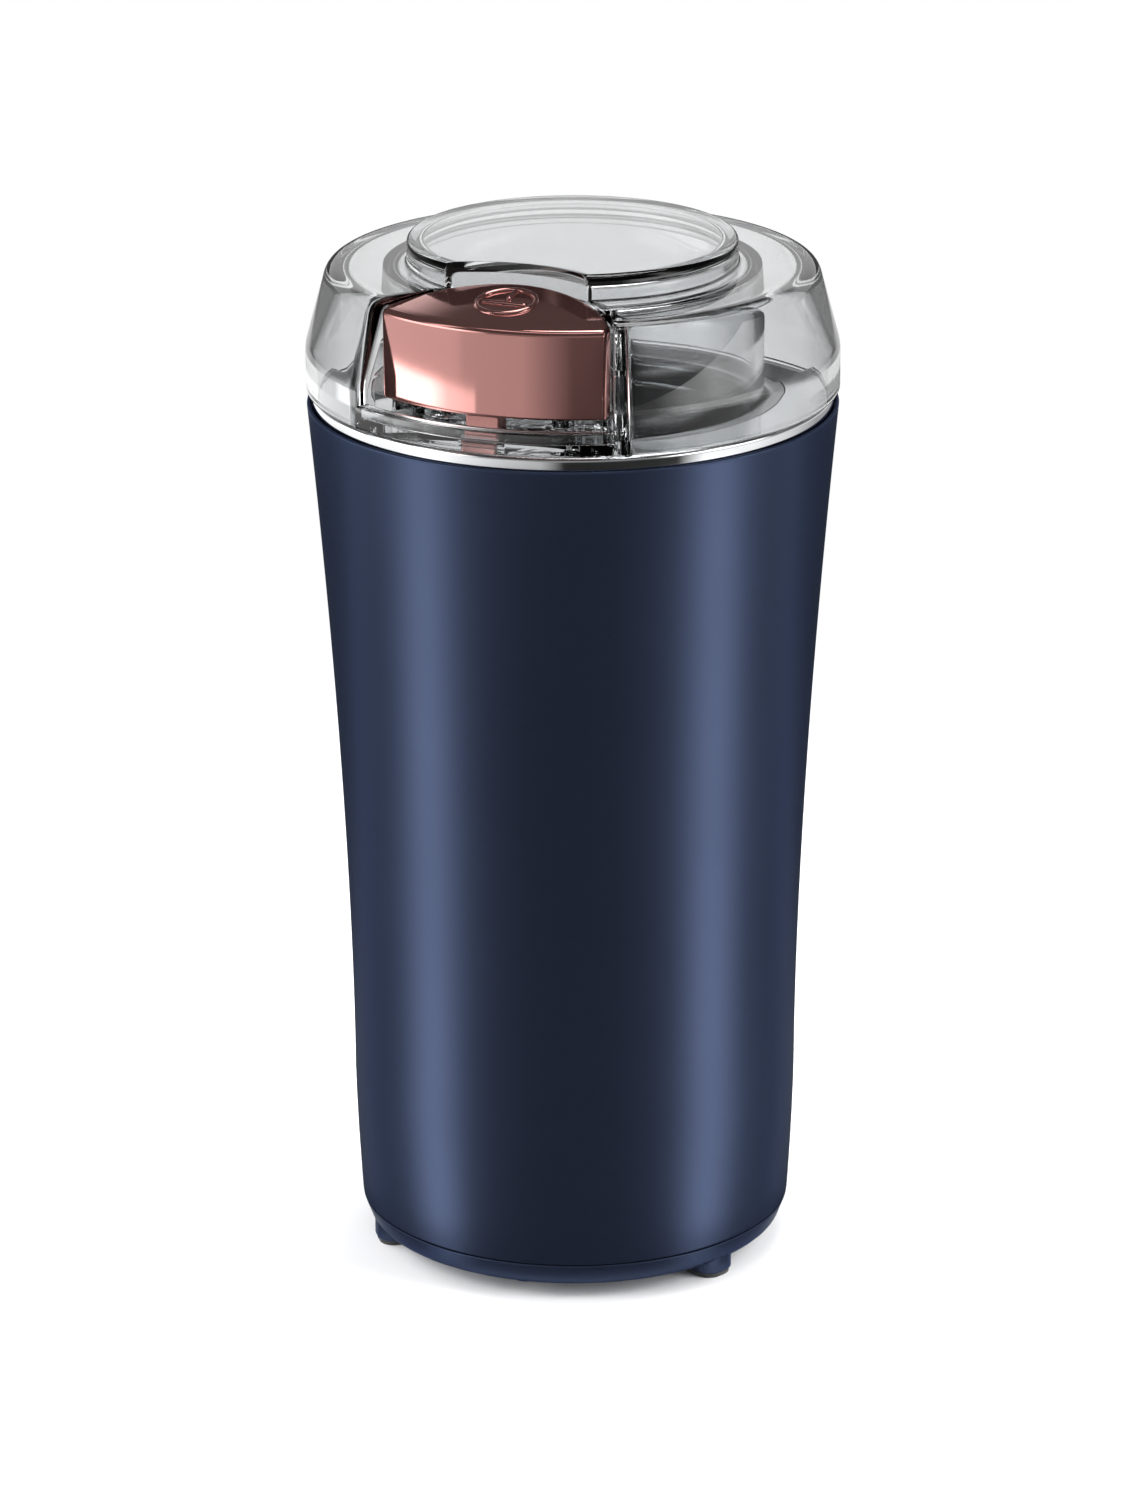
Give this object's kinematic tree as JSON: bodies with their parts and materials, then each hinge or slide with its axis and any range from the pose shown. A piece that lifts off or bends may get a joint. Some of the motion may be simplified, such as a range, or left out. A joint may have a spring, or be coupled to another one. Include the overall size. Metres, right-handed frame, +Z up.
{
  "type": "electric spice grinder",
  "caption": "Tapered electric spice grinder with a steel bowl and blade, a clear lift-off lid and a press button set into the lid.",
  "frame": {"origin": "on the table under the lid's axis, at the underside of the feet", "axes": "+Z up along the lid's and the motor's axis, -Y towards the button, +Y towards the cord inlet at the back"},
  "size_m": [0.095, 0.095, 0.1886],
  "materials": {
    "navy_plastic": "satin moulded navy",
    "clear_plastic": "clear glossy plastic",
    "rose_gold_plastic": "metallic rose-gold gloss",
    "polished_steel": "polished stainless steel",
    "blade_steel": "ground stainless steel",
    "machine_steel": "zinc-plated and ground steel",
    "lamination_steel": "stacked steel sheets",
    "black_plastic": "black moulded plastic",
    "white_plastic": "natural nylon",
    "red_plastic": "red moulded plastic",
    "amber_plastic": "capacitor case",
    "rubber": "black rubber",
    "silicone": "pale silicone",
    "copper_wire": "enamelled copper",
    "bronze": "sintered bronze",
    "brass": "stamped brass",
    "carbon": "pressed carbon"
  },
  "bodies": {
    "housing": {"body_shell": "navy_plastic", "base_cover": "navy_plastic", "foot_pads": "rubber", "base_screws": "machine_steel", "cord_inlet": "rubber", "bowl_carrier": "black_plastic", "carrier_screws": "machine_steel", "steel_ring": "polished_steel", "grinding_bowl": "polished_steel", "bowl_gasket": "silicone", "bowl_washer": "rubber", "bowl_nut": "polished_steel", "shaft_seal": "rubber", "upper_bracket": "black_plastic", "bracket_grommets": "rubber", "bracket_screws": "machine_steel", "upper_bearing": "bronze", "stator_core": "lamination_steel", "field_coils": "copper_wire", "thermal_cutout": "white_plastic", "stator_screws": "machine_steel", "lower_bracket": "black_plastic", "lower_bearing": "bronze", "brush_holders": "brass", "carbon_brushes": "carbon", "brush_springs": "machine_steel", "capacitor": "amber_plastic", "rod_guide": "white_plastic", "rod_spring": "machine_steel", "switch_body": "black_plastic", "switch_terminals": "brass", "switch_screws": "machine_steel"},
    "lid": {"clear_lid": "clear_plastic", "button_springs": "machine_steel"},
    "button": {"press_button": "rose_gold_plastic"},
    "push_rod": {"push_rod": "white_plastic"},
    "switch_plunger": {"switch_plunger": "red_plastic"},
    "rotor": {"motor_shaft": "machine_steel", "armature_core": "lamination_steel", "armature_winding": "copper_wire", "commutator": "copper_wire", "cooling_fan": "white_plastic", "thrust_washers": "machine_steel", "blade_spacer": "blade_steel", "cutting_blade": "blade_steel", "blade_washer": "blade_steel", "blade_nut": "blade_steel"}
  },
  "joints": [
    {"name": "lid_lift", "type": "slide", "parent": "housing", "child": "lid", "axis": [0, 0, 1], "range_m": [0, 0.07]},
    {"name": "button_press", "type": "slide", "parent": "lid", "child": "button", "axis": [0, 0, -1], "range_m": [0, 0.003], "stiffness_N_per_m": 250, "springref_m": -0.003, "deforming": ["button_springs"]},
    {"name": "rod_slide", "type": "slide", "parent": "housing", "child": "push_rod", "axis": [0, 0, -1], "range_m": [0, 0.003], "stiffness_N_per_m": 150, "springref_m": -0.003, "deforming": ["rod_spring"]},
    {"name": "plunger_slide", "type": "slide", "parent": "housing", "child": "switch_plunger", "axis": [0, 0, -1], "range_m": [0, 0.003], "stiffness_N_per_m": 100, "springref_m": -0.003},
    {"name": "rotor_spin", "type": "hinge", "parent": "housing", "child": "rotor", "pos_m": [0, 0, 0.09], "axis": [0, 0, 1], "continuous": true}
  ],
  "couplings": [
    {"joint": "rod_slide", "follows": "button_press", "ratio": 1},
    {"joint": "plunger_slide", "follows": "button_press", "ratio": 1}
  ]
}
